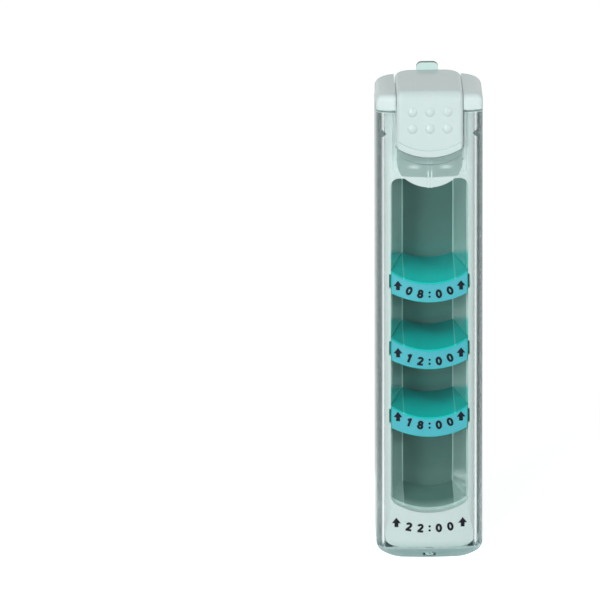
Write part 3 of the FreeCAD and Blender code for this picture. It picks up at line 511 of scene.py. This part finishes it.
# Each character's strokes: a path, and whether it is closed
GLYPH_STROKES = {
    "0": [(ellipse_points(0, 0, 0.225, 0.385, 0, 350, 35), True)],
    "1": [([(0.06, -0.5), (0.06, 0.5)], False), ([(0.04, 0.40), (-0.22, 0.19)], False)],
    "2": [
        (ellipse_points(0, 0.185, 0.215, 0.2, 175, -40, 18) + [(-0.17, -0.36)], False),
        ([(-0.31, -0.385), (0.33, -0.385)], False),
    ],
    "8": [
        (ellipse_points(0, 0.205, 0.185, 0.18, 0, 348, 29), True),
        (ellipse_points(0, -0.19, 0.22, 0.195, 0, 348, 29), True),
    ],
    ":": [
        (ellipse_points(0, 0.24, 0.065, 0.065, 0, 330, 11), True),
        (ellipse_points(0, -0.24, 0.065, 0.065, 0, 330, 11), True),
    ],
}


def glyph_outlines(character, height):
    """One character's flat mesh, centred, at the given height."""
    points, faces = [], []
    for path, closed in GLYPH_STROKES[character]:
        start = len(points)
        half_width = DOT_HALF_WIDTH if character == ":" else STROKE_HALF_WIDTH
        line_points, line_faces = stroke(path, half_width, closed)
        points += [Vector((point.x * height, point.y * height, 0)) for point in line_points]
        faces += [[index + start for index in face] for face in line_faces]
    return points, faces


def arrow_outline(width, height):
    """An upward arrow with a short thick stem, centred."""
    half, stem = width / 2, width * 0.22
    shoulder = -height * 0.08
    points = [
        (0, height / 2),
        (-half, shoulder),
        (-stem, shoulder),
        (-stem, -height / 2),
        (stem, -height / 2),
        (stem, shoulder),
        (half, shoulder),
    ]
    return [Vector((x, y, 0)) for x, y in points], [[0, 1, 2, 5, 6], [2, 3, 4, 5]]


def on_front(x, z):
    """The point of the bowed front at this place, a hair in front of it."""
    y = FRONT_CENTRE_Y - math.sqrt((FRONT_RADIUS + PRINT_LIFT) ** 2 - x * x)
    return Vector((x, y, z))


def printed_line(name, text, height_z, arc_radius, arrow_x, arrow_z):
    """Characters along an upturned arc and an arrow at each end.

    The height is that of the arc's lowest point, in the middle."""
    widths = [COLON_PITCH if character == ":" else LETTER_PITCH for character in text]
    points, faces = [], []

    def place(outline, turn, x, z):
        start = len(points)
        for point in outline[0]:
            turned = turn @ point
            points.append(on_front(x + turned.x, z + turned.y))
        faces.extend([[index + start for index in face] for face in outline[1]])

    along = -sum(widths) / 2
    for character, width in zip(text, widths):
        angle = (along + width / 2) / arc_radius
        x = arc_radius * math.sin(angle)
        z = height_z + arc_radius * (1 - math.cos(angle))
        place(glyph_outlines(character, LETTER_HEIGHT), Matrix.Rotation(angle, 4, "Z"), x, z)
        along += width
    for side in (-1, 1):
        place(arrow_outline(ARROW_WIDTH, ARROW_HEIGHT), Matrix.Identity(4), side * arrow_x, arrow_z)
    mesh = bpy.data.meshes.new(name)
    mesh.from_pydata(points, [], faces)
    mesh.materials.append(ink)
    piece = bpy.data.objects.new(name, mesh)
    scene.collection.objects.link(piece)
    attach(piece, "drawer")


# Name, text, finish and carrier, and then in millimetres: the line's height above its carrier's
# foot, the arc's radius, the arrows' distance from the middle and their height above that foot
LINES = [
    ("print_upper", "08:00", "label_blue", "label_upper", 2.25, 16.5, 9.2, 4.95),
    ("print_middle", "12:00", "label_blue", "label_middle", 2.15, 16.5, 9.2, 4.85),
    ("print_lower", "18:00", "label_blue", "label_lower", 3.35, 18.0, 9.2, 6.05),
    ("print_foot", "22:00", "white_plastic", "carriage", 5.9, 38.0, 9.7, 7.6),
]
for name, text, slot, carrier, rise, arc_radius, arrow_x, arrow_rise in LINES:
    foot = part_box(carrier)[0].z
    line_z, arrow_z = foot + rise * MM, foot + arrow_rise * MM
    printed_line(name, text, line_z, arc_radius * MM, arrow_x * MM, arrow_z)


# Floor, world and lamps

WHITE = (1, 1, 1)
FLOOR_REACH = 6.0  # metres from the middle
FLOOR_DROP = 0.02 * MM
FLOOR_LIFT = 0.7  # the floor's own glow, up to a ray's first diffuse bounce
REAR_DIM = 0.3  # the dim floor's share well behind the object
AMBIENT = 0.32  # the world's strength for diffuse rays
AMBIENT_COLOUR = (0.94, 1.0, 0.995)
SIDE_TONE = 0.35  # the studio's strength at both sides, where it is 1 behind
UP_TONE = 0.6  # the studio's strength above
ROOM_TONE = 0.15  # the strength of reflections of the camera's side
LAMP_AIM = Vector((0, 0, 0.08))


def floor_material():
    """Pale floor that the camera sees as white, with the object's shadow left on it.

    For a ray that a glossy or clear surface has reflected, it is dim in front of the object and a
    little dim well behind it."""
    nodes = MaterialNodes("floor_white")
    grey = nodes.mix(nodes.noise(0.01), (0.80, 0.80, 0.80), (0.82, 0.82, 0.82))
    pale = nodes.add("ShaderNodeBsdfDiffuse", {"Color": grey}).outputs["BSDF"]
    rays = nodes.add("ShaderNodeLightPath").outputs
    lift = nodes.product(nodes.is_zero(rays["Diffuse Depth"]), FLOOR_LIFT)
    glow = nodes.add("ShaderNodeEmission", {"Color": WHITE, "Strength": lift}).outputs["Emission"]
    lifted = nodes.add("ShaderNodeAddShader", {0: pale, 1: glow}).outputs["Shader"]
    dim = nodes.add("ShaderNodeBsdfDiffuse", {"Color": (0.12, 0.13, 0.13)}).outputs["BSDF"]
    depth = nodes.axis("Y")
    before, behind = nodes.fade(depth, -16.0, -12.0), nodes.ramp(depth, 62.0, 72.0, 0.0, REAR_DIM)
    dimmed = nodes.product(nodes.is_positive(rays["Glossy Depth"]), nodes.math("ADD", before, behind))
    nodes.show(nodes.choose(dimmed, lifted, dim))
    return nodes.material


floor_mesh = bpy.data.meshes.new("floor")
corners = [(x * FLOOR_REACH, y * FLOOR_REACH, 0) for x, y in ((-1, -1), (1, -1), (1, 1), (-1, 1))]
floor_mesh.from_pydata(corners, [], [(0, 1, 2, 3)])
floor_mesh.materials.append(floor_material())
floor = bpy.data.objects.new("floor", floor_mesh)
floor.location.z = -FLOOR_DROP
scene.collection.objects.link(floor)


def studio_world():
    """White for the camera. Clear walls let a studio through: white behind, darker at both sides and
    above. Reflections show the same with the camera's side dim. Other rays find an even pale light."""
    world = bpy.data.worlds.new("studio")
    nodes = Nodes(world, "ShaderNodeOutputWorld")

    def light(colour, strength):
        inputs = {"Color": colour, "Strength": strength}
        return nodes.add("ShaderNodeBackground", inputs).outputs["Background"]

    direction = nodes.add("ShaderNodeTexCoord").outputs["Generated"]
    parts = nodes.add("ShaderNodeSeparateXYZ", {"Vector": direction}).outputs
    sideways = nodes.ramp(nodes.math("ABSOLUTE", parts["X"]), 0.35, 0.9, 1.0, SIDE_TONE)
    studio = nodes.product(sideways, nodes.ramp(parts["Z"], 0.35, 0.95, 1.0, UP_TONE))
    room = nodes.product(studio, nodes.ramp(parts["Y"], -0.6, 0.3, ROOM_TONE, 1.0))

    rays = nodes.add("ShaderNodeLightPath").outputs
    direct = nodes.is_zero(rays["Diffuse Depth"])
    seen_through = nodes.product(rays["Is Transmission Ray"], direct)
    seen_in_gloss = nodes.product(rays["Is Glossy Ray"], direct)
    reflected = nodes.is_positive(rays["Glossy Depth"])
    through = nodes.choose(reflected, light(WHITE, studio), light(WHITE, room))
    shader = nodes.choose(seen_through, light(AMBIENT_COLOUR, AMBIENT), through)
    shader = nodes.choose(seen_in_gloss, shader, light(WHITE, room))
    nodes.show(nodes.choose(rays["Is Camera Ray"], shader, light(WHITE, 1.0)))
    return world


scene.world = studio_world()


def soft_box(name, place, width, height, power):
    """A rectangular lamp, pointed at the object."""
    light = bpy.data.lights.new(name, "AREA")
    light.shape = "RECTANGLE"
    light.size, light.size_y = width, height
    light.energy = power
    lamp = bpy.data.objects.new(name, light)
    lamp.location = place
    lamp.rotation_euler = (LAMP_AIM - Vector(place)).to_track_quat("-Z", "Y").to_euler()
    scene.collection.objects.link(lamp)


soft_box("front_left", (-0.5, -0.95, 0.25), width=0.3, height=0.4, power=3.6)
soft_box("front_right", (0.7, -0.75, 0.42), width=0.1, height=0.12, power=2.2)
soft_box("front_top", (-0.3, -0.7, 0.8), width=0.2, height=0.2, power=1.9)


# Camera: nearly parallel, from a little to the left and above

PICTURE_SIDE = 600  # pixels
PIXELS_PER_MM = 3.40
OBJECT_COLUMN = 429.65  # the pixel column where the object's middle stands
DISTANCE = 5.0
FIELD = PICTURE_SIDE / PIXELS_PER_MM * MM  # what the picture's side measures at the object
AZIMUTH, ELEVATION = math.radians(-1.9), math.radians(18.0)
TARGET = Vector((0, -11 * MM, 79.5 * MM))
SENSOR = 36.0

camera_data = bpy.data.cameras.new("camera")
camera = bpy.data.objects.new("camera", camera_data)
scene.collection.objects.link(camera)
scene.camera = camera
camera_data.sensor_width = SENSOR
camera_data.lens = SENSOR * DISTANCE / FIELD
camera_data.clip_end = 20.0
level = math.cos(ELEVATION)
back = Vector((math.sin(AZIMUTH) * level, -math.cos(AZIMUTH) * level, math.sin(ELEVATION)))
camera.location = TARGET + back * DISTANCE
camera.rotation_mode = "QUATERNION"
aside = math.atan((OBJECT_COLUMN - PICTURE_SIDE / 2) / PIXELS_PER_MM * MM / DISTANCE)
camera.rotation_quaternion = (-back).to_track_quat("-Z", "Y") @ Quaternion((0, 1, 0), aside)
